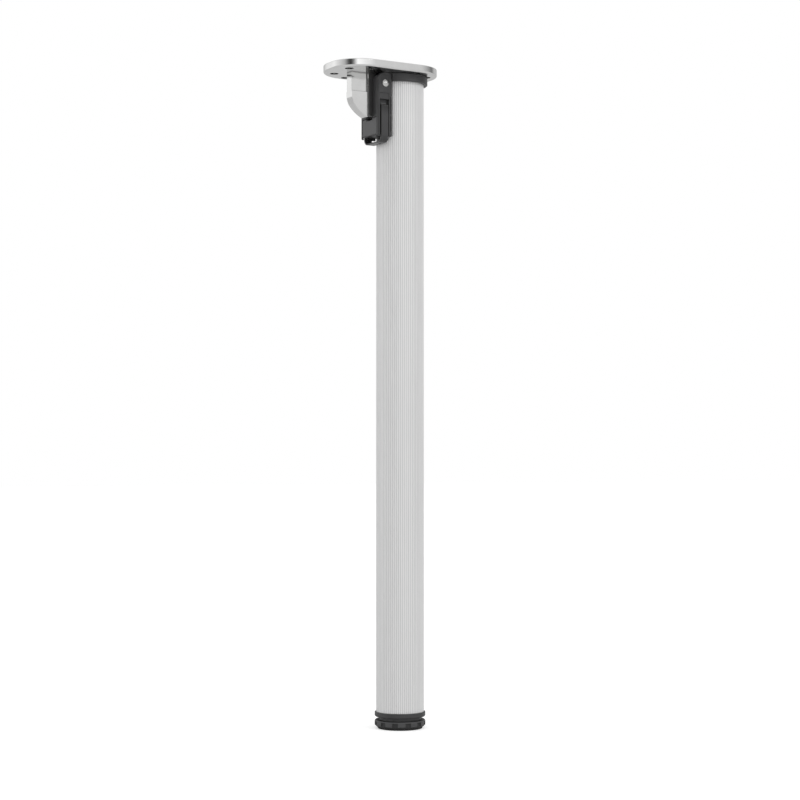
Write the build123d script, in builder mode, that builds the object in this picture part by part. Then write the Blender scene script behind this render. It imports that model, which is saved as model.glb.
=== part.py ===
from build123d import *
import math
import os

os.makedirs("parts", exist_ok=True)

# Folding table leg in millimetres.
# The origin is where the leg's axis meets the tabletop, +Z is up.
# +X points away from the hinge, and +Y runs along the hinge pin.
# The leg hangs straight down and folds up towards -X.

# Driving sizes of the plate
plate_thickness = 8.0
plate_length = 122.0
plate_width = 75.0
plate_corner_radius = 33.0
plate_edge_radius = 1.8
plate_top_edge = 0.6
plate_centre_x = -24.0
screw_hole_radius = 2.6
screw_head_radius = 4.6
screw_head_depth = 3.4
outer_holes_length = 93.0
outer_holes_width = 32.0
inner_holes_length = 52.0
inner_holes_width = 58.0

# Driving sizes of the hinge and its sector
pivot_x = -28.3
pivot_z = -19.1
sector_radius = 38.0
sector_thickness = 11.8
sector_reach = 33.2
sector_corner_radius = 10.0
sector_corner_inset = 1.8
sector_corner_height = 6.0
sector_corner_z = -39.6
sector_toe = 6.0
sector_boss_radius = 10.0
panel_depth = 1.0
panel_height = 20.0
panel_end = 15.8
panel_slot_width = 1.3
panel_slot_depth = 2.2
rim_edge = 0.6
core_wall = 3.0
core_length = 17.0
core_depth = 22.0
tooth_height = 3.6
tooth_start_deg = 94.5
tooth_width_deg = 3.0
liner_thickness = 0.9
liner_reach = 13.1
pin_radius = 3.0
bush_wall = 1.4
rivet_head_radius = 3.95
rivet_head_height = 1.8

# Driving sizes of the leg head
cheek_half_width = 18.5
cheek_front = -37.3
cheek_back = -20.9
cheek_bottom = -74.5
cheek_corner_radius = 2.5
cheek_bottom_radius = 1.5
collar_radius = 28.9
collar_height = 8.3
collar_edge = 0.5
plug_length = 93.6
plug_core_radius = 18.0
plug_core_length = 26.0
pocket_front = -35.3
pocket_back = -24.3
pocket_top = -36.0
pocket_depth = 2.2
pocket_slot_width = 1.6
pocket_slot_depth = 3.2
recess_top = -29.5
recess_depth = 0.4
edge_groove_width = 0.6
edge_groove_depth = 1.6
edge_groove_inset = 1.4
edge_groove_top = -33.0
edge_groove_break = -53.2
edge_groove_bridge = 2.0
edge_groove_low = -70.0

# Driving sizes of the lock slide, its bolt, springs and strap
slide_travel = 5.0
slide_half_width = 15.0
slide_top = -54.2
slide_bottom = -72.4
slide_edge = 0.7
slide_front_wall = 1.8
slide_slot_floor = -61.8
ear_inner = 12.0
ear_front = -33.3
ear_back = -25.3
ear_top = -39.0
bolt_width = 3.5
bolt_half_thickness = 5.5
bolt_root = -68.0
spring_pin_radius = 1.25
spring_pin_x = -25.8
spring_pin_z = -69.3
spring_offset = 11.0
spring_wire_radius = 0.25
spring_coil_radius = 1.9
spring_pitch = 2.1
spring_bore_top = -58.2
spring_bore_radius = 2.5
strap_thickness = 1.4
strap_front = -33.4
strap_width = 8.6
strap_recess = 0.6
strap_bottom = -80.5
strap_bend_radius = 7.0
hook_z = -41.0
hook_width = 4.0
hook_reach = 13.2

# Driving sizes of the tube and its two fixing screws
tube_radius = 25.0
tube_wall = 2.0
tube_length = 656.6
flute_count = 72
flute_radius = 0.62
flute_depth = 0.35
tube_screw_radius = 2.1
tube_screw_length = 9.0
tube_screw_head_radius = 4.0
tube_screw_head_height = 2.4
recess_length = 4.4
recess_width = 0.9
recess_deep = 1.6
tube_screw_first = -70.0
tube_screw_spacing = 25.0

# Driving sizes of the adjustable foot
ring_radius = 26.5
ring_height = 5.2
ring_edge_radius = 1.6
insert_length = 55.0
insert_web = 4.0
sleeve_radius = 21.6
sleeve_length = 29.0
sleeve_wall = 2.5
foot_radius = 26.5
foot_gap = 3.1
foot_height = 7.0
foot_edge = 1.7
grip_count = 12
grip_width = 5.8
grip_depth = 1.0
grip_lip = 1.5
grip_phase_deg = 17.7
pad_radius = 23.5
pad_thickness = 2.2
pad_spigot_radius = 6.0
pad_spigot_length = 2.5
stem_radius = 5.0
stem_length = 76.0
stem_edge = 1.0
nut_across_flats = 16.0
nut_height = 8.0
clip_radius = 7.5
clip_thickness = 1.0
clip_bite = 0.9
foot_travel = 20.0

# Named clearances, and how far a cut runs out past the surface
face_gap = 0.1
slide_gap = 0.2
swing_gap = 0.4
turn_gap = 0.05
loose_gap = 0.3
fork_gap = 1.0
over_cut = 1.0

# Levels and widths that follow from the sizes above
plate_underside = -plate_thickness
head_top = plate_underside - face_gap
tube_top = head_top - collar_height
tube_bottom = tube_top - tube_length
tube_bore_radius = tube_radius - tube_wall
plug_radius = tube_bore_radius - turn_gap
plug_bottom = tube_top - plug_length
sector_half = sector_thickness / 2
sector_flat = slide_top + loose_gap
liner_outer = sector_half + liner_thickness
fork_half = liner_outer + face_gap
tooth_radius = sector_radius + tooth_height
tooth_root_radius = pivot_z - sector_flat - core_wall
fork_radius = tooth_radius + fork_gap
nose_radius = -pivot_z - plate_thickness - loose_gap
cavity_half = slide_half_width + slide_gap
slide_back = cheek_back - slide_gap
slide_slot_half = sector_half + swing_gap + loose_gap
wall_offset = pivot_x - cheek_front - slide_front_wall
slide_wall_top = pivot_z - math.sqrt(sector_radius**2 - wall_offset**2) - slide_gap
wall_slot_half = sector_half + loose_gap
pocket_floor = cheek_half_width - pocket_depth
slide_low = slide_bottom - slide_travel - loose_gap
strap_outer = cheek_half_width - strap_recess
strap_inner = strap_outer - strap_thickness
bolt_top = pivot_z - sector_radius - loose_gap
bolt_front = pivot_x - sector_radius * math.sin(math.radians(tooth_start_deg - 90)) + loose_gap
insert_radius = tube_bore_radius - turn_gap
ring_bottom = tube_bottom - ring_height
foot_top = ring_bottom - foot_gap
foot_bottom = foot_top - foot_height
floor_level = foot_bottom - pad_thickness
sleeve_top = foot_top + sleeve_length
web_bottom = sleeve_top + loose_gap
nut_bottom = web_bottom + insert_web
nut_top = nut_bottom + nut_height
stem_top = foot_bottom + stem_length
clip_bottom = nut_top + foot_travel + loose_gap


# Mounting plate: one casting with the sector that the leg swings around
with BuildPart() as mounting_plate:
    with BuildSketch(Plane.XY.offset(plate_underside)):
        with Locations((plate_centre_x, 0)):
            RectangleRounded(plate_length, plate_width, plate_corner_radius)
    extrude(amount=plate_thickness)
    fillet(mounting_plate.faces().sort_by(Axis.Z)[0].edges(), plate_edge_radius)
    chamfer(mounting_plate.faces().sort_by(Axis.Z)[-1].edges(), plate_top_edge)
    # The sector: a quarter disc below the plate, cut off at its far side and flat above the slide
    root_height = plate_underside - pivot_z
    with BuildSketch(Plane.XZ) as sector_sketch:
        with Locations((pivot_x, pivot_z)):
            Circle(sector_radius)
        with Locations((pivot_x - sector_reach, pivot_z)):
            Rectangle(
                sector_reach + sector_toe,
                pivot_z - sector_flat,
                align=(Align.MIN, Align.MAX),
                mode=Mode.INTERSECT,
            )
        # Its far side leans in a little towards the arc
        far_x = pivot_x - sector_reach
        lean = sector_corner_inset / sector_corner_height
        corner_top = (far_x, sector_corner_z + sector_corner_height)
        corner_low = (far_x, sector_corner_z - sector_corner_height)
        corner_in = (far_x + 2 * sector_corner_height * lean, sector_corner_z - sector_corner_height)
        Polygon(corner_top, corner_low, corner_in, align=None, mode=Mode.SUBTRACT)
        far_corner = sector_sketch.vertices().group_by(Axis.X)[0].sort_by(Axis.Y)[0]
        fillet(far_corner, sector_corner_radius)
        with Locations((pivot_x - sector_reach, pivot_z)):
            Rectangle(
                sector_reach + sector_boss_radius,
                root_height + plate_edge_radius,
                align=(Align.MIN, Align.MIN),
            )
        with Locations((pivot_x, pivot_z)):
            Circle(sector_boss_radius)
    extrude(amount=sector_half, both=True)
    rim_arcs = mounting_plate.edges().filter_by(GeomType.CIRCLE)
    rim_arcs = rim_arcs.filter_by(lambda arc: abs(arc.radius - sector_radius) < 0.01)
    chamfer(rim_arcs, rim_edge)
    # The lock tooth stands out of the rim beside the bolt
    tooth_angles = (tooth_start_deg, tooth_start_deg + tooth_width_deg)
    tooth_points = []
    for angle, radius in (
        (tooth_angles[0], tooth_root_radius),
        (tooth_angles[0], tooth_radius),
        (tooth_angles[1], tooth_radius),
        (tooth_angles[1], tooth_root_radius),
    ):
        swing = math.radians(angle)
        tooth_points.append((pivot_x + radius * math.cos(swing), pivot_z - radius * math.sin(swing)))
    with BuildSketch(Plane.XZ):
        Polygon(*tooth_points, align=None)
    extrude(amount=sector_half, both=True)
    # Thinner panel under the plate, with a slot along its inner end
    for side in (-1, 1):
        with BuildSketch(Plane.XZ.offset(side * sector_half)):
            with Locations((pivot_x - sector_reach, plate_underside)):
                Rectangle(sector_reach - panel_end, panel_height, align=(Align.MIN, Align.MAX))
        extrude(amount=-side * panel_depth, mode=Mode.SUBTRACT)
        with BuildSketch(Plane.XZ.offset(side * sector_half)):
            with Locations((pivot_x - panel_end, plate_underside)):
                Rectangle(panel_slot_width, panel_height, align=(Align.MIN, Align.MAX))
        extrude(amount=-side * panel_slot_depth, mode=Mode.SUBTRACT)
    # The casting is cored from above, so its walls stay even
    with BuildSketch(Plane.XY):
        with Locations((pivot_x - sector_reach + core_wall, 0)):
            Rectangle(core_length, sector_thickness - 2 * core_wall, align=(Align.MIN, Align.CENTER))
    extrude(amount=-core_depth, mode=Mode.SUBTRACT)
    # Bore for the bush
    with Locations(Plane(origin=(pivot_x, 0, pivot_z), z_dir=(0, 1, 0))):
        Hole(pin_radius + turn_gap + bush_wall)
    # Eight countersunk places for pan-head screws, open downwards
    underside = Plane(origin=(plate_centre_x, 0, plate_underside), x_dir=(1, 0, 0), z_dir=(0, 0, -1))
    for length, width in (
        (outer_holes_length, outer_holes_width),
        (inner_holes_length, inner_holes_width),
    ):
        with Locations(underside):
            with GridLocations(length, width, 2, 2):
                CounterBoreHole(screw_hole_radius, screw_head_radius, screw_head_depth)
mounting_plate.part.label = "mounting_plate"
export_step(mounting_plate.part, "parts/mounting_plate.step")

# Thin black liners that keep the sector from rubbing on the cheeks
liner_radius = pivot_z - sector_flat
with BuildPart() as sector_liners:
    for side in (-1, 1):
        with BuildSketch(Plane.XZ.offset(-side * sector_half)):
            with Locations((pivot_x, pivot_z)):
                Circle(liner_radius)
            with Locations((pivot_x - liner_reach, pivot_z)):
                Rectangle(
                    liner_reach + sector_toe,
                    liner_radius,
                    align=(Align.MIN, Align.MAX),
                    mode=Mode.INTERSECT,
                )
            with Locations((pivot_x - liner_reach, pivot_z)):
                Rectangle(
                    liner_reach + sector_boss_radius,
                    root_height - face_gap,
                    align=(Align.MIN, Align.MIN),
                )
            with Locations((pivot_x, pivot_z)):
                Circle(sector_boss_radius)
                Circle(pin_radius + loose_gap, mode=Mode.SUBTRACT)
        extrude(amount=-side * liner_thickness)
sector_liners.part.label = "sector_liners"
export_step(sector_liners.part, "parts/sector_liners.step")

# Bush in the sector, and the pin that is riveted over outside the cheeks
hinge_axis = Plane(origin=(pivot_x, 0, pivot_z), z_dir=(0, 1, 0))
with BuildPart() as pivot_bush:
    with BuildSketch(hinge_axis):
        Circle(pin_radius + turn_gap + bush_wall)
        Circle(pin_radius + turn_gap, mode=Mode.SUBTRACT)
    extrude(amount=sector_half, both=True)
pivot_bush.part.label = "pivot_bush"
export_step(pivot_bush.part, "parts/pivot_bush.step")

with BuildPart() as pivot_pin:
    # In this plane x runs up from the pin's axis, and y runs along it
    with BuildSketch(Plane(origin=(pivot_x, 0, pivot_z), x_dir=(0, 0, 1), z_dir=(-1, 0, 0))):
        with BuildLine():
            brim = (rivet_head_radius, cheek_half_width)
            crown = (0, cheek_half_width + rivet_head_height)
            Polyline((0, 0), (pin_radius, 0), (pin_radius, cheek_half_width), brim)
            TangentArc(crown, brim, tangent=(1, 0))
            Line(crown, (0, 0))
        make_face()
    revolve(axis=Axis((pivot_x, 0, pivot_z), (0, 1, 0)))
    mirror(about=Plane.XZ)
pivot_pin.part.label = "pivot_pin"
export_step(pivot_pin.part, "parts/pivot_pin.step")

# Leg head: collar, plug in the tube, and the two cheeks astride the sector
with BuildPart() as leg_head:
    block_length = cheek_back - cheek_front
    with BuildSketch(Plane.XY.offset(cheek_bottom)):
        with Locations((cheek_front, 0)):
            Rectangle(block_length, 2 * cheek_half_width, align=(Align.MIN, Align.CENTER))
    extrude(amount=head_top - cheek_bottom)
    front_edges = leg_head.edges().filter_by(Axis.Z).group_by(Axis.X)[0]
    fillet(front_edges, cheek_corner_radius)
    with BuildSketch(Plane.XY.offset(plug_bottom)):
        Circle(plug_radius)
    extrude(amount=tube_top - plug_bottom)
    with BuildSketch(Plane.XY.offset(tube_top)):
        Circle(collar_radius)
        with Locations((cheek_back - turn_gap, 0)):
            Rectangle(
                2 * collar_radius,
                2 * collar_radius,
                align=(Align.MIN, Align.CENTER),
                mode=Mode.INTERSECT,
            )
    extrude(amount=collar_height)
    collar_edges = leg_head.edges().filter_by(GeomType.CIRCLE)
    collar_edges = collar_edges.filter_by(lambda arc: abs(arc.radius - collar_radius) < 0.01)
    chamfer(collar_edges, collar_edge)
    # Round the underside of the cheeks
    under_edges = leg_head.faces().filter_by(Axis.Z).filter_by(
        lambda face: abs(face.center().Z - cheek_bottom) < 0.01
    ).edges().group_by(Axis.X)[0]
    fillet(under_edges, cheek_bottom_radius)
    # The front top corner is an arc about the pin, so it clears the plate as it swings
    with BuildSketch(Plane.XZ):
        with Locations((cheek_front, pivot_z)):
            Rectangle(pivot_x - cheek_front, nose_radius + over_cut, align=(Align.MIN, Align.MIN))
        with Locations((pivot_x, pivot_z)):
            Circle(nose_radius, mode=Mode.SUBTRACT)
    extrude(amount=cheek_half_width, both=True, mode=Mode.SUBTRACT)
    # The fork slot that the sector turns in
    fork_end = pivot_x + math.sqrt(fork_radius**2 - (head_top - pivot_z) ** 2)
    with BuildSketch(Plane.XZ):
        with Locations((pivot_x, pivot_z)):
            Circle(fork_radius)
        with Locations((fork_end, pivot_z)):
            Rectangle(2 * fork_radius, head_top - pivot_z + over_cut, align=(Align.MAX, Align.MIN))
    extrude(amount=fork_half, both=True, mode=Mode.SUBTRACT)
    # The cavity for the lock slide, and a channel for each of its ears
    with BuildSketch(Plane.XY.offset(slide_low)):
        with Locations((cheek_back, 0)):
            Rectangle(block_length, 2 * cavity_half, align=(Align.MAX, Align.CENTER))
    extrude(amount=slide_top + slide_gap - slide_low, mode=Mode.SUBTRACT)
    for side in (-1, 1):
        with BuildSketch(Plane.XY.offset(slide_top)):
            with Locations(((ear_front + ear_back) / 2, side * (ear_inner + slide_half_width) / 2)):
                Rectangle(
                    ear_back - ear_front + 2 * slide_gap,
                    slide_half_width - ear_inner + 2 * slide_gap,
                )
        extrude(amount=ear_top - slide_top + loose_gap, mode=Mode.SUBTRACT)
    # Outside each cheek: a shallow recess, the strap's pocket and an edge groove
    for side in (-1, 1):
        outside = Plane.XZ.offset(-side * cheek_half_width)
        for top, depth in ((recess_top, recess_depth), (pocket_top, pocket_depth)):
            with BuildSketch(outside):
                with Locations(((pocket_front + pocket_back) / 2, (top + cheek_bottom) / 2)):
                    Rectangle(pocket_back - pocket_front, top - cheek_bottom)
            extrude(amount=side * depth, mode=Mode.SUBTRACT)
        with BuildSketch(outside):
            with Locations((pocket_front + pocket_slot_width / 2, (pocket_top + cheek_bottom) / 2)):
                Rectangle(pocket_slot_width, pocket_top - cheek_bottom)
        extrude(amount=side * (pocket_depth + pocket_slot_depth), mode=Mode.SUBTRACT)
        groove_x = cheek_back - edge_groove_inset
        bridge_top = edge_groove_break + edge_groove_bridge
        for low, high in ((edge_groove_low, edge_groove_break), (bridge_top, edge_groove_top)):
            with BuildSketch(outside):
                with Locations((groove_x, (low + high) / 2)):
                    Rectangle(edge_groove_width, high - low)
            extrude(amount=side * edge_groove_depth, mode=Mode.SUBTRACT)
        # Window for the strap's hook, as tall as its stroke and open to the pocket's top
        hook_low = hook_z - strap_thickness - slide_travel - slide_gap
        with BuildSketch(Plane.XZ.offset(-side * cavity_half)):
            with Locations((strap_front + strap_width / 2, (pocket_top + hook_low) / 2)):
                Rectangle(strap_width, pocket_top - hook_low)
        extrude(amount=-side * (cheek_half_width - cavity_half), mode=Mode.SUBTRACT)
    # Bores for the hinge pin and for the spring pin
    with Locations(hinge_axis):
        Hole(pin_radius)
    with Locations(Plane(origin=(spring_pin_x, 0, spring_pin_z), z_dir=(0, 1, 0))):
        Cylinder(spring_pin_radius, 2 * cheek_half_width, mode=Mode.SUBTRACT)
    # The plug is hollow below the hinge
    with Locations((0, 0, plug_bottom)):
        Cylinder(
            plug_core_radius,
            plug_core_length,
            align=(Align.CENTER, Align.CENTER, Align.MIN),
            mode=Mode.SUBTRACT,
        )
    # Pilot holes for the tube's screws
    for step in range(2):
        level = tube_screw_first - step * tube_screw_spacing
        with Locations(Plane(origin=(plug_radius, 0, level), z_dir=(1, 0, 0))):
            Cylinder(tube_screw_radius + turn_gap, 2 * tube_screw_length, mode=Mode.SUBTRACT)
leg_head.part.label = "leg_head"
export_step(leg_head.part, "parts/leg_head.step")

# Lock slide: a block that fills the cavity, with an ear up each cheek for the strap
slide_length = slide_back - cheek_front
ear_thickness = slide_half_width - ear_inner
ear_middle = (ear_front + ear_back) / 2
with BuildPart() as lock_slide:
    with BuildSketch(Plane.XY.offset(slide_bottom)):
        with Locations((cheek_front, 0)):
            Rectangle(slide_length, 2 * slide_half_width, align=(Align.MIN, Align.CENTER))
    extrude(amount=slide_top - slide_bottom)
    front_face = lock_slide.faces().sort_by(Axis.X)[0]
    chamfer(front_face.edges(), slide_edge)
    for side in (-1, 1):
        with BuildSketch(Plane.XY.offset(slide_top - slide_edge)):
            with Locations((ear_middle, side * (ear_inner + ear_thickness / 2))):
                Rectangle(ear_back - ear_front, ear_thickness)
        extrude(amount=ear_top - slide_top + slide_edge)
        # Socket for the strap's hook
        with BuildSketch(Plane.XZ.offset(-side * slide_half_width)):
            with Locations((ear_middle, hook_z - strap_thickness / 2)):
                Rectangle(hook_width + 2 * turn_gap, strap_thickness + 2 * turn_gap)
        extrude(amount=side * (slide_half_width - hook_reach + turn_gap), mode=Mode.SUBTRACT)
    # Slot that the sector's rim and its tooth pass through
    with BuildSketch(Plane.XY.offset(slide_slot_floor)):
        with Locations((cheek_front + slide_front_wall, 0)):
            Rectangle(slide_length, 2 * slide_slot_half, align=(Align.MIN, Align.CENTER))
    extrude(amount=slide_top - slide_slot_floor, mode=Mode.SUBTRACT)
    with BuildSketch(Plane.XY.offset(slide_wall_top)):
        with Locations((cheek_front, 0)):
            Rectangle(2 * slide_front_wall, 2 * wall_slot_half, align=(Align.MIN, Align.CENTER))
    extrude(amount=slide_top - slide_wall_top, mode=Mode.SUBTRACT)
    # Seat of the steel bolt
    with BuildSketch(Plane.XY.offset(bolt_root)):
        with Locations((bolt_front, 0)):
            Rectangle(bolt_width, 2 * bolt_half_thickness, align=(Align.MIN, Align.CENTER))
    extrude(amount=slide_slot_floor - bolt_root, mode=Mode.SUBTRACT)
    # Bores for the two springs, drilled from below, and the long hole for their pin
    for side in (-1, 1):
        with Locations((spring_pin_x, side * spring_offset, slide_bottom)):
            Cylinder(
                spring_bore_radius,
                spring_bore_top - slide_bottom,
                align=(Align.CENTER, Align.CENTER, Align.MIN),
                mode=Mode.SUBTRACT,
            )
    pin_hole = spring_pin_radius + slide_gap
    with BuildSketch(Plane.XZ):
        with Locations((spring_pin_x, spring_pin_z + slide_travel / 2)):
            SlotCenterToCenter(slide_travel, 2 * pin_hole, rotation=90)
    extrude(amount=slide_half_width + over_cut, both=True, mode=Mode.SUBTRACT)
lock_slide.part.label = "lock_slide"
export_step(lock_slide.part, "parts/lock_slide.step")

# The bolt stands behind the sector's tooth and takes the load
with BuildPart() as lock_bolt:
    with BuildSketch(Plane.XY.offset(bolt_root)):
        with Locations((bolt_front, 0)):
            Rectangle(bolt_width, 2 * bolt_half_thickness, align=(Align.MIN, Align.CENTER))
    extrude(amount=bolt_top - bolt_root)
lock_bolt.part.label = "lock_bolt"
export_step(lock_bolt.part, "parts/lock_bolt.step")

# Cross pin that the two springs push against
with BuildPart() as spring_pin:
    with Locations(Plane(origin=(spring_pin_x, 0, spring_pin_z), z_dir=(0, 1, 0))):
        Cylinder(spring_pin_radius, 2 * (pocket_floor - face_gap))
spring_pin.part.label = "spring_pin"
export_step(spring_pin.part, "parts/spring_pin.step")

spring_bottom = spring_pin_z + spring_pin_radius + 2 * spring_wire_radius + turn_gap
spring_length = spring_bore_top - spring_bottom - 2 * spring_wire_radius - turn_gap
with BuildPart() as return_springs:
    for side in (-1, 1):
        spring_axis = (spring_pin_x, side * spring_offset, spring_bottom)
        with BuildLine():
            coil = Helix(spring_pitch, spring_length, spring_coil_radius, center=spring_axis)
        with BuildSketch(Plane(origin=coil @ 0, z_dir=coil % 0)):
            RegularPolygon(spring_wire_radius, 8)
        sweep(path=coil, is_frenet=True)
return_springs.part.label = "return_springs"
export_step(return_springs.part, "parts/return_springs.step")

# Pull strap: one bent strip, hooked into the slide's ears and hollowed round the tube
with BuildPart() as pull_strap:
    strap_height = hook_z - strap_bottom
    with BuildSketch(Plane.YZ.offset(strap_front)) as strap_outline:
        with Locations((0, strap_bottom)):
            Rectangle(2 * strap_outer, strap_height, align=(Align.CENTER, Align.MIN))
        fillet(strap_outline.vertices().group_by(Axis.Y)[0], strap_bend_radius)
        fillet(strap_outline.vertices().group_by(Axis.Y)[-1], strap_thickness)
    extrude(amount=strap_width)
    with BuildSketch(Plane.YZ.offset(strap_front)) as strap_inside:
        with Locations((0, strap_bottom + strap_thickness)):
            Rectangle(2 * strap_inner, strap_height, align=(Align.CENTER, Align.MIN))
        fillet(strap_inside.vertices().group_by(Axis.Y)[0], strap_bend_radius - strap_thickness)
    extrude(amount=strap_width, mode=Mode.SUBTRACT)
    for side in (-1, 1):
        with BuildSketch(Plane.XY.offset(hook_z - strap_thickness)):
            with Locations((ear_middle, side * (hook_reach + strap_outer - strap_thickness / 2) / 2)):
                Rectangle(hook_width, strap_outer - strap_thickness / 2 - hook_reach)
        extrude(amount=strap_thickness / 2)
        with BuildSketch(Plane.XY.offset(hook_z - strap_thickness)):
            with Locations((ear_middle, side * (hook_reach + strap_inner) / 2)):
                Rectangle(hook_width, strap_inner - hook_reach)
        extrude(amount=strap_thickness)
    with Locations((0, 0, strap_bottom - over_cut)):
        Cylinder(
            tube_radius + swing_gap,
            cheek_bottom - strap_bottom,
            align=(Align.CENTER, Align.CENTER, Align.MIN),
            mode=Mode.SUBTRACT,
        )
pull_strap.part.label = "pull_strap"
export_step(pull_strap.part, "parts/pull_strap.step")

# Leg tube: a drawn aluminium tube, fluted all round and notched for the cheeks
with BuildPart() as leg_tube:
    with BuildSketch(Plane.XY.offset(tube_bottom)):
        Circle(tube_radius)
        with PolarLocations(tube_radius + flute_radius - flute_depth, flute_count):
            Circle(flute_radius, mode=Mode.SUBTRACT)
        Circle(tube_bore_radius, mode=Mode.SUBTRACT)
    extrude(amount=tube_length)
    with BuildSketch(Plane.XY.offset(cheek_bottom - face_gap)):
        with Locations((cheek_back + face_gap, 0)):
            Rectangle(tube_radius, 2 * tube_radius, align=(Align.MAX, Align.CENTER))
    extrude(amount=tube_top - cheek_bottom + face_gap, mode=Mode.SUBTRACT)
    with BuildSketch(Plane.XY.offset(slide_low)):
        with Locations((cheek_back, 0)):
            Rectangle(tube_radius, 2 * cavity_half, align=(Align.MAX, Align.CENTER))
    extrude(amount=cheek_bottom - slide_low, mode=Mode.SUBTRACT)
    for step in range(2):
        level = tube_screw_first - step * tube_screw_spacing
        with Locations(Plane(origin=(tube_radius, 0, level), z_dir=(1, 0, 0))):
            Cylinder(tube_screw_radius + turn_gap, 4 * tube_wall, mode=Mode.SUBTRACT)
leg_tube.part.label = "leg_tube"
export_step(leg_tube.part, "parts/leg_tube.step")

# Two screws hold the tube to the leg head, on the side away from the hinge
with BuildPart() as tube_screws:
    for step in range(2):
        level = tube_screw_first - step * tube_screw_spacing
        with BuildSketch(Plane(origin=(0, 0, level), x_dir=(1, 0, 0), z_dir=(0, -1, 0))):
            with BuildLine():
                tip = tube_radius - tube_screw_length
                crown = (tube_radius + tube_screw_head_height, 0)
                brim = (tube_radius, tube_screw_head_radius)
                Polyline((tip, 0), (tip, tube_screw_radius), (tube_radius, tube_screw_radius), brim)
                TangentArc(crown, brim, tangent=(0, 1))
                Line(crown, (tip, 0))
            make_face()
        revolve(axis=Axis((0, 0, level), (1, 0, 0)))
        # Cross recess for the driver
        crown_x = tube_radius + tube_screw_head_height
        with BuildSketch(Plane(origin=(crown_x, 0, level), x_dir=(0, 1, 0), z_dir=(1, 0, 0))):
            Rectangle(recess_length, recess_width)
            Rectangle(recess_width, recess_length)
        extrude(amount=-recess_deep, mode=Mode.SUBTRACT)
tube_screws.part.label = "tube_screws"
export_step(tube_screws.part, "parts/tube_screws.step")

# End insert: a moulded ring below the tube, with a plug that carries the foot's nut
insert_bore = sleeve_radius + loose_gap
insert_inner = insert_radius - tube_wall
stem_hole = stem_radius + 2 * swing_gap
nut_boss_radius = nut_across_flats / 2 + core_wall
with BuildPart() as end_insert:
    with BuildSketch(Plane.XZ):
        with BuildLine():
            Polyline(
                (insert_bore, ring_bottom),
                (ring_radius, ring_bottom),
                (ring_radius, tube_bottom),
                (insert_radius, tube_bottom),
                (insert_radius, tube_bottom + insert_length),
                (insert_inner, tube_bottom + insert_length),
                (insert_inner, nut_bottom),
                (nut_boss_radius, nut_bottom),
                (nut_boss_radius, nut_top),
                (stem_hole, nut_top),
                (stem_hole, web_bottom),
                (insert_bore, web_bottom),
                close=True,
            )
        make_face()
    revolve(axis=Axis.Z)
    ring_edges = end_insert.edges().filter_by(GeomType.CIRCLE)
    ring_edges = ring_edges.filter_by(lambda arc: abs(arc.radius - ring_radius) < 0.01)
    fillet(ring_edges.sort_by(Axis.Z)[0], ring_edge_radius)
    chamfer(ring_edges.sort_by(Axis.Z)[-1], collar_edge)
    with BuildSketch(Plane.XY.offset(nut_bottom)):
        RegularPolygon(nut_across_flats / 2, 6, major_radius=False)
    extrude(amount=nut_height, mode=Mode.SUBTRACT)
end_insert.part.label = "end_insert"
export_step(end_insert.part, "parts/end_insert.step")

# Steel nut pressed into the insert, which the foot's stem screws through
with BuildPart() as insert_nut:
    with BuildSketch(Plane.XY.offset(nut_bottom)):
        RegularPolygon(nut_across_flats / 2, 6, major_radius=False)
        Circle(stem_radius + turn_gap, mode=Mode.SUBTRACT)
    extrude(amount=nut_height)
insert_nut.part.label = "insert_nut"
export_step(insert_nut.part, "parts/insert_nut.step")

# Foot: a moulded grip with a sleeve that hides the stem when it is screwed out
head_height = foot_height / 2
head_flats = nut_across_flats
with BuildPart() as foot_grip:
    with BuildSketch(Plane.XY.offset(foot_bottom)):
        Circle(foot_radius)
    extrude(amount=foot_height)
    chamfer(foot_grip.edges().sort_by(Axis.Z)[0], foot_edge)
    fillet(foot_grip.edges().sort_by(Axis.Z)[-1], foot_edge - turn_gap)
    with BuildSketch(Plane.XY.offset(foot_bottom)):
        Circle(sleeve_radius)
    extrude(amount=sleeve_top - foot_bottom)
    with BuildSketch(Plane.XY.offset(foot_top)):
        Circle(sleeve_radius - sleeve_wall)
    extrude(amount=sleeve_length, mode=Mode.SUBTRACT)
    # Flat-bottomed recesses around the rim give the fingers a hold
    with BuildSketch(Plane.XY.offset(foot_bottom)):
        with PolarLocations(foot_radius, grip_count, start_angle=grip_phase_deg):
            Rectangle(2 * grip_depth, grip_width)
    extrude(amount=foot_height - grip_lip, mode=Mode.SUBTRACT)
    # Pocket for the stem's head, and the socket that the pad clips into
    with BuildSketch(Plane.XY.offset(foot_top - head_height)):
        RegularPolygon(head_flats / 2, 6, major_radius=False)
    extrude(amount=head_height, mode=Mode.SUBTRACT)
    with BuildSketch(Plane.XY.offset(foot_bottom)):
        Circle(pad_spigot_radius + loose_gap)
    extrude(amount=pad_spigot_length + loose_gap, mode=Mode.SUBTRACT)
foot_grip.part.label = "foot_grip"
export_step(foot_grip.part, "parts/foot_grip.step")

# Steel stem with a hexagonal head that sits in the grip
with BuildPart() as foot_stem:
    with BuildSketch(Plane.XY.offset(foot_top - head_height)):
        RegularPolygon(head_flats / 2, 6, major_radius=False)
    extrude(amount=head_height)
    with BuildSketch(Plane.XY.offset(foot_top)):
        Circle(stem_radius)
    extrude(amount=stem_top - foot_top)
    chamfer(foot_stem.edges().sort_by(Axis.Z)[-1], stem_edge)
    with BuildSketch(Plane.XY.offset(clip_bottom)):
        Circle(stem_radius + over_cut)
        Circle(stem_radius - clip_bite, mode=Mode.SUBTRACT)
    extrude(amount=clip_thickness, mode=Mode.SUBTRACT)
foot_stem.part.label = "foot_stem"
export_step(foot_stem.part, "parts/foot_stem.step")

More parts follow.
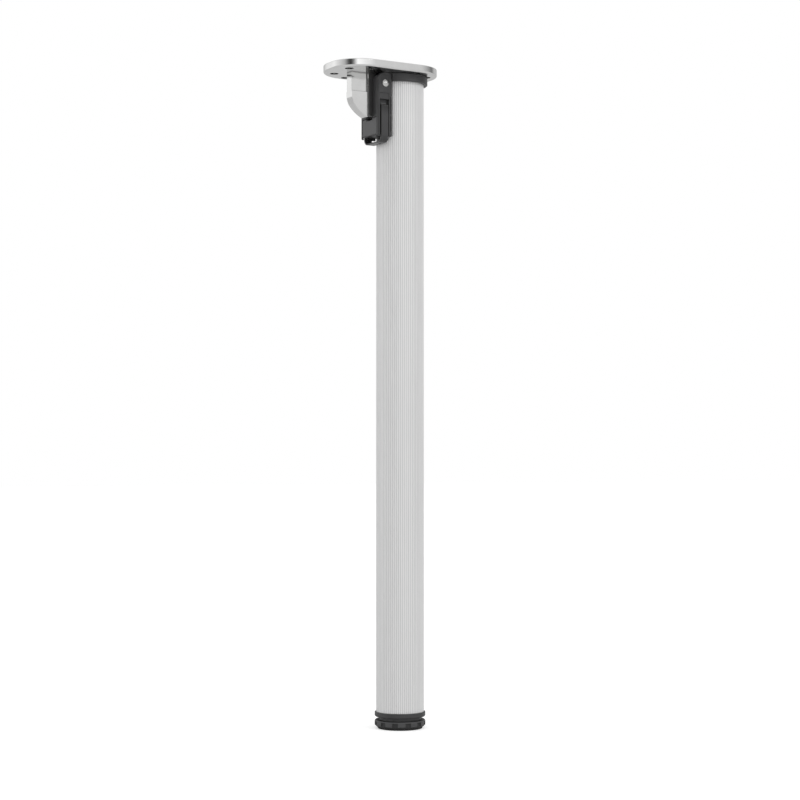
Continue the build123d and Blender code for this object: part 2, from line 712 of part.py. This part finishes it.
# Spring clip near the stem's end, which stops the foot from coming right out
with BuildPart() as stem_clip:
    with BuildSketch(Plane.XY.offset(clip_bottom)):
        Circle(clip_radius)
        Circle(stem_radius - clip_bite, mode=Mode.SUBTRACT)
        with Locations((clip_radius, 0)):
            Rectangle(2 * clip_radius, stem_radius, mode=Mode.SUBTRACT)
    extrude(amount=clip_thickness)
stem_clip.part.label = "stem_clip"
export_step(stem_clip.part, "parts/stem_clip.step")

# Pad that stands still on the floor while the grip is turned
with BuildPart() as foot_pad:
    with BuildSketch(Plane.XY.offset(floor_level)):
        Circle(pad_radius)
    extrude(amount=pad_thickness - face_gap)
    chamfer(foot_pad.edges().sort_by(Axis.Z)[0], collar_edge)
    with BuildSketch(Plane.XY.offset(floor_level)):
        Circle(pad_spigot_radius)
    extrude(amount=pad_thickness + pad_spigot_length)
foot_pad.part.label = "foot_pad"
export_step(foot_pad.part, "parts/foot_pad.step")
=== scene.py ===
import math

import bpy
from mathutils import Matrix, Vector


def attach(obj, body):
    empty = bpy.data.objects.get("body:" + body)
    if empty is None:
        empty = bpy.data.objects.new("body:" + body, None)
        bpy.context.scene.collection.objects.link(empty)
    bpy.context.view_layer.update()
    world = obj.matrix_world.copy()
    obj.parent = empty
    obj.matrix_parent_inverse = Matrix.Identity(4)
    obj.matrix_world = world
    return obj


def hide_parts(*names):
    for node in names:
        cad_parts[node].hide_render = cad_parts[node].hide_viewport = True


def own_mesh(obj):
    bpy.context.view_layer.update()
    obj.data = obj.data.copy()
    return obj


# Sizes are in metres, in the frame of the leg:
# the origin is where the leg's axis meets the tabletop, and +Z is up.
FLOOR_LEVEL = -0.6905
FLOOR_SIZE = 30.0
FLOOR_GREY = 0.72
FLOOR_LIFT = 0.50

# Radii about the leg's axis between which painted shade and light in a base colour change
FLUTE_FLOOR = 0.02468
FLUTE_CREST = 0.02495
SLEEVE_SKIN = 0.0217
SLEEVE_CLEAR = 0.0222
GRIP_RECESS = 0.0257
GRIP_RIM = 0.0263

# Front edge of the pull strap, and how far back from it the painted shade of the black gap
# beside it reaches
STRAP_FRONT = -0.0334
STRAP_SHADE_BAND = 0.0004
# The strap carries painted shade from its pocket's top above the first level, and none
# below the second
STRAP_SHADED_ABOVE = -0.043
STRAP_LIT_BELOW = -0.052

# Noise mostly keeps within the first range, and colours blend across the second
NOISE_RANGE = (0.30, 0.70)
COLOUR_RANGE = (0.35, 0.65)
# Share of open sky at which a hollow gets its full painted shade, and at which it gets
# none
HOLLOW_SHADE_RANGE = (0.35, 0.95)

# The camera of the photograph
CAMERA_AZIMUTH = math.radians(31.0)
CAMERA_DISTANCE = 1.983
CAMERA_HEIGHT = -0.4075
CAMERA_PITCH = math.radians(1.72)
CAMERA_LENS = 85.0

# Light plan of the studio: how bright its soft walls are, by compass heading in degrees.
# 0 is towards +Y, 90 towards +X. The walls leave two dark gaps, near 100 and 240.
STUDIO_WALLS = (
    (0, 0.62),
    (30, 0.55),
    (80, 0.60),
    (100, 0.20),
    (135, 0.60),
    (165, 0.90),
    (215, 1.30),
    (230, 0.25),
    (240, 0.02),
    (250, 0.12),
    (265, 0.55),
    (315, 1.12),
    (345, 0.85),
    (360, 0.62),
)
WALL_TOP = max(level for heading, level in STUDIO_WALLS)
# The walls are centred on the first height of a level direction's unit vector, keep
# their light for the second, and fade into the even light above and below by the third
WALL_MIDDLE = 0.18
WALL_REACH = 0.14
WALL_FADE = 0.30
OPEN_LEVEL = 0.80

# Both lamps point at the leg. The weak one on the left shows in no reflection.
LAMP_TARGET = (0.0, 0.0, -0.3)
KEY_PLACE = (1.0, -2.6, 1.9)
KEY_SIDE = 0.9
KEY_WATTS = 22.0
FILL_PLACE = (-2.6, -0.8, 0.6)
FILL_SIDE = 1.4
FILL_WATTS = 7.5


def new_material(name):
    """A node material, with its shader and the object's own coordinates."""
    material = bpy.data.materials.new(name)
    material.use_nodes = True
    nodes = material.node_tree.nodes
    coordinates = nodes.new("ShaderNodeTexCoord")
    return material, nodes["Principled BSDF"], coordinates.outputs["Object"]


def noise(material, vector, scale, detail, stretch=(1.0, 1.0, 1.0)):
    """Noise of a given scale; a stretch below 1 draws it out along that axis."""
    nodes, links = material.node_tree.nodes, material.node_tree.links
    mapping = nodes.new("ShaderNodeMapping")
    mapping.inputs["Scale"].default_value = stretch
    texture = nodes.new("ShaderNodeTexNoise")
    texture.inputs["Scale"].default_value = scale
    texture.inputs["Detail"].default_value = detail
    links.new(vector, mapping.inputs["Vector"])
    links.new(mapping.outputs["Vector"], texture.inputs["Vector"])
    return texture.outputs["Fac"]


def between(material, value, source, target, smooth=True):
    """Takes a value from its source range to a target range."""
    nodes, links = material.node_tree.nodes, material.node_tree.links
    mapper = nodes.new("ShaderNodeMapRange")
    if smooth:
        mapper.interpolation_type = "SMOOTHSTEP"
    mapper.inputs["From Min"].default_value = source[0]
    mapper.inputs["From Max"].default_value = source[1]
    mapper.inputs["To Min"].default_value = target[0]
    mapper.inputs["To Max"].default_value = target[1]
    links.new(value, mapper.inputs["Value"])
    return mapper.outputs["Result"]


def colour_between(material, value, dark, light):
    """Blends two colours by a noise value."""
    nodes, links = material.node_tree.nodes, material.node_tree.links
    blend = nodes.new("ShaderNodeValToRGB")
    for stop, place, colour in zip(blend.color_ramp.elements, COLOUR_RANGE, (dark, light)):
        stop.position = place
        stop.color = (*colour, 1.0)
    links.new(value, blend.inputs["Fac"])
    return blend.outputs["Color"]


def bump(material, shader, value, strength, distance, edge=0.0):
    """Bump from a value, laid over edges that are softened by a small radius."""
    nodes, links = material.node_tree.nodes, material.node_tree.links
    bumped = nodes.new("ShaderNodeBump")
    bumped.inputs["Strength"].default_value = strength
    bumped.inputs["Distance"].default_value = distance
    links.new(value, bumped.inputs["Height"])
    if edge:
        bevel = nodes.new("ShaderNodeBevel")
        bevel.samples = 4
        bevel.inputs["Radius"].default_value = edge
        links.new(bevel.outputs["Normal"], bumped.inputs["Normal"])
    links.new(bumped.outputs["Normal"], shader.inputs["Normal"])


def metal(name, dark, light, rough, grain):
    """A metal with faint patches of tone, uneven polish and fine grain."""
    material, shader, place = new_material(name)
    links = material.node_tree.links
    shader.inputs["Metallic"].default_value = 1.0
    patches = noise(material, place, scale=45.0, detail=4.0)
    links.new(colour_between(material, patches, dark, light), shader.inputs["Base Color"])
    polish = noise(material, place, scale=grain, detail=5.0)
    roughness = between(material, polish, NOISE_RANGE, rough, smooth=False)
    links.new(roughness, shader.inputs["Roughness"])
    bump(material, shader, polish, strength=0.25, distance=0.00002, edge=0.0003)
    return material


def anodised(name, dark, light, rough):
    """Drawn aluminium with a matt anodised skin and faint die lines along its length."""
    material, shader, place = new_material(name)
    links = material.node_tree.links
    shader.inputs["Metallic"].default_value = 0.25
    lines = noise(material, place, scale=900.0, detail=3.0, stretch=(1.0, 1.0, 0.01))
    links.new(colour_between(material, lines, dark, light), shader.inputs["Base Color"])
    roughness = between(material, lines, NOISE_RANGE, rough, smooth=False)
    links.new(roughness, shader.inputs["Roughness"])
    bump(material, shader, lines, strength=0.15, distance=0.00001)
    return material


def moulding(name, dark, light, rough, grain):
    """A moulded skin with a fine even grain and slightly rubbed patches."""
    material, shader, place = new_material(name)
    links = material.node_tree.links
    patches = noise(material, place, scale=60.0, detail=4.0)
    links.new(colour_between(material, patches, dark, light), shader.inputs["Base Color"])
    roughness = between(material, patches, NOISE_RANGE, rough, smooth=False)
    links.new(roughness, shader.inputs["Roughness"])
    skin = noise(material, place, scale=grain, detail=2.0)
    bump(material, shader, skin, strength=0.3, distance=0.00004, edge=0.0004)
    return material


def shade_base(material, factor):
    """Multiplies a material's base colour by a factor that varies over the surface."""
    nodes, links = material.node_tree.nodes, material.node_tree.links
    base = nodes["Principled BSDF"].inputs["Base Color"]
    tone = nodes.new("ShaderNodeVectorMath")
    tone.operation = "SCALE"
    links.new(base.links[0].from_socket, tone.inputs[0])
    links.new(factor, tone.inputs["Scale"])
    links.new(tone.outputs["Vector"], base)


def shade_by_radius(material, inner, outer, within, beyond):
    """Shades a base colour by one factor within a radius about Z and another beyond."""
    nodes, links = material.node_tree.nodes, material.node_tree.links
    place = nodes.new("ShaderNodeTexCoord")
    flat = nodes.new("ShaderNodeVectorMath")
    flat.operation = "MULTIPLY"
    flat.inputs[1].default_value = (1.0, 1.0, 0.0)
    links.new(place.outputs["Object"], flat.inputs[0])
    radius = nodes.new("ShaderNodeVectorMath")
    radius.operation = "LENGTH"
    links.new(flat.outputs["Vector"], radius.inputs[0])
    factor = between(material, radius.outputs["Value"], (inner, outer), (within, beyond))
    shade_base(material, factor)


def shade_along(material, axis, low, high, below, above):
    """Shades a base colour by one factor below a stretch of an axis and another above."""
    nodes, links = material.node_tree.nodes, material.node_tree.links
    place = nodes.new("ShaderNodeTexCoord")
    parts = nodes.new("ShaderNodeSeparateXYZ")
    links.new(place.outputs["Object"], parts.inputs["Vector"])
    factor = between(material, parts.outputs[axis], (low, high), (below, above))
    shade_base(material, factor)


def paint_hollow_shade(material, reach, darkest):
    """Paints shade into narrow hollows: darkens the base colour where ambient occlusion
    finds little open sky.
    """
    hollow = material.node_tree.nodes.new("ShaderNodeAmbientOcclusion")
    hollow.samples = 8
    hollow.only_local = True
    hollow.inputs["Distance"].default_value = reach
    factor = between(material, hollow.outputs["AO"], HOLLOW_SHADE_RANGE, (darkest, 1.0))
    shade_base(material, factor)


def finishes():
    """The material of each CAD piece."""
    plate = metal(
        "plated_casting",
        dark=(0.74, 0.74, 0.735),
        light=(0.79, 0.79, 0.785),
        rough=(0.10, 0.15),
        grain=140.0,
    )
    # Painted shade darkens the plate's narrow hollows
    paint_hollow_shade(plate, reach=0.003, darkest=0.42)
    tube = anodised(
        "fluted_aluminium",
        dark=(0.80, 0.80, 0.80),
        light=(0.85, 0.85, 0.85),
        rough=(0.38, 0.48),
    )
    # Painted shade darkens the floors of the flutes
    shade_by_radius(tube, FLUTE_FLOOR, FLUTE_CREST, within=0.80, beyond=1.0)
    steel = metal(
        "plated_steel",
        dark=(0.60, 0.60, 0.59),
        light=(0.70, 0.70, 0.69),
        rough=(0.18, 0.30),
        grain=700.0,
    )
    brass = metal(
        "bearing_brass",
        dark=(0.60, 0.45, 0.20),
        light=(0.70, 0.55, 0.28),
        rough=(0.20, 0.35),
        grain=800.0,
    )
    black = moulding(
        "black_moulding",
        dark=(0.034, 0.034, 0.035),
        light=(0.046, 0.046, 0.047),
        rough=(0.38, 0.50),
        grain=2500.0,
    )
    # Painted shade darkens the black moulding's narrow hollows
    paint_hollow_shade(black, reach=0.002, darkest=0.40)
    liner = moulding(
        "liner_moulding",
        dark=(0.026, 0.026, 0.026),
        light=(0.034, 0.034, 0.034),
        rough=(0.45, 0.55),
        grain=2500.0,
    )
    grey = moulding(
        "grey_moulding",
        dark=(0.070, 0.070, 0.072),
        light=(0.085, 0.085, 0.087),
        rough=(0.40, 0.50),
        grain=2500.0,
    )
    grip = moulding(
        "grip_moulding",
        dark=(0.035, 0.035, 0.036),
        light=(0.046, 0.046, 0.047),
        rough=(0.42, 0.55),
        grain=2500.0,
    )
    # The grip's base colour is darker in its hollows as painted shade and brighter at its
    # rim, and painted light makes its sleeve 4.2 times paler where the ring shades it
    shade_by_radius(grip, GRIP_RECESS, GRIP_RIM, within=0.45, beyond=1.5)
    shade_by_radius(grip, SLEEVE_SKIN, SLEEVE_CLEAR, within=4.2, beyond=1.0)
    rubber = moulding(
        "pad_rubber",
        dark=(0.020, 0.020, 0.020),
        light=(0.030, 0.030, 0.030),
        rough=(0.70, 0.85),
        grain=1500.0,
    )
    strap = moulding(
        "black_steel",
        dark=(0.024, 0.024, 0.025),
        light=(0.032, 0.032, 0.033),
        rough=(0.32, 0.42),
        grain=1200.0,
    )
    strap.node_tree.nodes["Principled BSDF"].inputs["Coat Weight"].default_value = 0.25
    # Painted shade darkens the strap's front edge, so the gap beside it reads black
    shade_along(strap, "X", STRAP_FRONT, STRAP_FRONT + STRAP_SHADE_BAND, below=0.2, above=1.0)
    # Painted shade darkens the top of the strap, where the pocket shades it
    shade_along(strap, "Z", STRAP_LIT_BELOW, STRAP_SHADED_ABOVE, below=1.05, above=0.25)
    return {
        "mounting_plate": plate,
        "sector_liners": liner,
        "pivot_bush": brass,
        "pivot_pin": steel,
        "leg_head": black,
        "lock_slide": grey,
        "lock_bolt": steel,
        "spring_pin": steel,
        "return_springs": steel,
        "pull_strap": strap,
        "leg_tube": tube,
        "tube_screws": steel,
        "end_insert": black,
        "insert_nut": steel,
        "foot_grip": grip,
        "foot_stem": steel,
        "stem_clip": steel,
        "foot_pad": rubber,
    }


def dress(nodes):
    """Gives every CAD piece its finish."""
    for name, material in finishes().items():
        for slot in nodes[name].material_slots:
            slot.material = material


def add_springs(nodes):
    """The return springs copied into a piece of their own on the leg's body."""
    springs = bpy.data.objects.new("coil_springs", nodes["return_springs"].data.copy())
    bpy.context.collection.objects.link(springs)
    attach(springs, "leg")
    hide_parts("return_springs")
    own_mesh(springs)


def add_floor():
    """A plain pale floor that reads as white and keeps the leg's soft shadow."""
    bpy.ops.mesh.primitive_plane_add(size=FLOOR_SIZE, location=(0, 0, FLOOR_LEVEL))
    floor = bpy.context.object
    floor.name = "floor"
    material, shader, _ = new_material("floor_paint")
    nodes, links = material.node_tree.nodes, material.node_tree.links
    shader.inputs["Roughness"].default_value = 0.9
    shader.inputs["Specular IOR Level"].default_value = 0.1
    shader.inputs["Base Color"].default_value = (FLOOR_GREY,) * 3 + (1.0,)
    shader.inputs["Emission Color"].default_value = (1.0, 1.0, 1.0, 1.0)
    rays = nodes.new("ShaderNodeLightPath")
    lift = nodes.new("ShaderNodeMath")
    lift.operation = "MULTIPLY"
    lift.inputs[1].default_value = FLOOR_LIFT
    links.new(rays.outputs["Is Camera Ray"], lift.inputs[0])
    links.new(lift.outputs["Value"], shader.inputs["Emission Strength"])
    floor.data.materials.append(material)


def add_studio():
    """Soft walls of light all round, brighter and darker by heading, and white behind."""
    world = bpy.data.worlds.new("studio")
    bpy.context.scene.world = world
    world.use_nodes = True
    nodes, links = world.node_tree.nodes, world.node_tree.links
    place = nodes.new("ShaderNodeTexCoord")
    parts = nodes.new("ShaderNodeSeparateXYZ")
    links.new(place.outputs["Generated"], parts.inputs["Vector"])
    # The light plan runs once round the compass
    heading = nodes.new("ShaderNodeMath")
    heading.operation = "ARCTAN2"
    links.new(parts.outputs["X"], heading.inputs[0])
    links.new(parts.outputs["Y"], heading.inputs[1])
    full = nodes.new("ShaderNodeMath")
    full.operation = "WRAP"
    full.inputs[1].default_value = 0.0
    full.inputs[2].default_value = math.tau
    links.new(heading.outputs["Value"], full.inputs[0])
    turn = nodes.new("ShaderNodeMapRange")
    turn.inputs["From Min"].default_value = 0.0
    turn.inputs["From Max"].default_value = math.tau
    links.new(full.outputs["Value"], turn.inputs["Value"])
    walls = nodes.new("ShaderNodeValToRGB")
    stops = walls.color_ramp.elements
    while len(stops) < len(STUDIO_WALLS):
        stops.new(0.5)
    for stop, (degrees, level) in zip(stops, STUDIO_WALLS):
        stop.position = degrees / 360
        stop.color = (level / WALL_TOP,) * 3 + (1.0,)
    links.new(turn.outputs["Result"], walls.inputs["Fac"])
    # Away from their middle height the walls fade into even light
    rise = nodes.new("ShaderNodeMath")
    rise.operation = "SUBTRACT"
    rise.inputs[1].default_value = WALL_MIDDLE
    links.new(parts.outputs["Z"], rise.inputs[0])
    off = nodes.new("ShaderNodeMath")
    off.operation = "ABSOLUTE"
    links.new(rise.outputs["Value"], off.inputs[0])
    fade = nodes.new("ShaderNodeMapRange")
    fade.inputs["From Min"].default_value = WALL_REACH
    fade.inputs["From Max"].default_value = WALL_FADE
    links.new(off.outputs["Value"], fade.inputs["Value"])
    blend = nodes.new("ShaderNodeMix")
    blend.data_type = "RGBA"
    links.new(fade.outputs["Result"], blend.inputs["Factor"])
    links.new(walls.outputs["Color"], blend.inputs["A"])
    blend.inputs["B"].default_value = (OPEN_LEVEL / WALL_TOP,) * 3 + (1.0,)
    walls_light = nodes["Background"]
    walls_light.inputs["Strength"].default_value = WALL_TOP
    links.new(blend.outputs["Result"], walls_light.inputs["Color"])
    # The camera itself sees plain white
    white = nodes.new("ShaderNodeBackground")
    white.inputs["Color"].default_value = (1.0, 1.0, 1.0, 1.0)
    white.inputs["Strength"].default_value = 1.0
    rays = nodes.new("ShaderNodeLightPath")
    choice = nodes.new("ShaderNodeMixShader")
    links.new(rays.outputs["Is Camera Ray"], choice.inputs["Fac"])
    links.new(walls_light.outputs["Background"], choice.inputs[1])
    links.new(white.outputs["Background"], choice.inputs[2])
    links.new(choice.outputs["Shader"], nodes["World Output"].inputs["Surface"])


def add_lamp(name, place, side, watts, mirrored=True):
    """A square soft lamp that points at the leg; unmirrored, it shows in no reflection."""
    lamp = bpy.data.lights.new(name, "AREA")
    lamp.shape = "SQUARE"
    lamp.size = side
    lamp.energy = watts
    holder = bpy.data.objects.new(name, lamp)
    holder.location = place
    holder.visible_glossy = mirrored
    away = Vector(place) - Vector(LAMP_TARGET)
    holder.rotation_euler = away.to_track_quat("Z", "Y").to_euler()
    bpy.context.collection.objects.link(holder)


def add_camera():
    """The photograph's camera: a little below the leg's middle and tipped up slightly."""
    lens = bpy.data.cameras.new("camera")
    lens.lens = CAMERA_LENS
    holder = bpy.data.objects.new("camera", lens)
    holder.location = (
        -CAMERA_DISTANCE * math.sin(CAMERA_AZIMUTH),
        -CAMERA_DISTANCE * math.cos(CAMERA_AZIMUTH),
        CAMERA_HEIGHT,
    )
    holder.rotation_euler = (math.radians(90.0) + CAMERA_PITCH, 0.0, -CAMERA_AZIMUTH)
    bpy.context.collection.objects.link(holder)
    bpy.context.scene.camera = holder


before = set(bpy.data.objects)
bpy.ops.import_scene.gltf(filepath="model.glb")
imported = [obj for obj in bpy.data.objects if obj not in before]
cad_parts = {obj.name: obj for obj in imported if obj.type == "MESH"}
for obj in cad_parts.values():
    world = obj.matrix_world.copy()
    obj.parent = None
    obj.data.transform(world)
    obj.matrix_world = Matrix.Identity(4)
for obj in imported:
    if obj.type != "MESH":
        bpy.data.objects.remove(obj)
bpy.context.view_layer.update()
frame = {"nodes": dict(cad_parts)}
bpy.context.scene.view_settings.view_transform = "Standard"
dress(frame["nodes"])
add_springs(frame["nodes"])
add_floor()
add_studio()
add_lamp("key", KEY_PLACE, KEY_SIDE, KEY_WATTS)
add_lamp("fill", FILL_PLACE, FILL_SIDE, FILL_WATTS, mirrored=False)
add_camera()
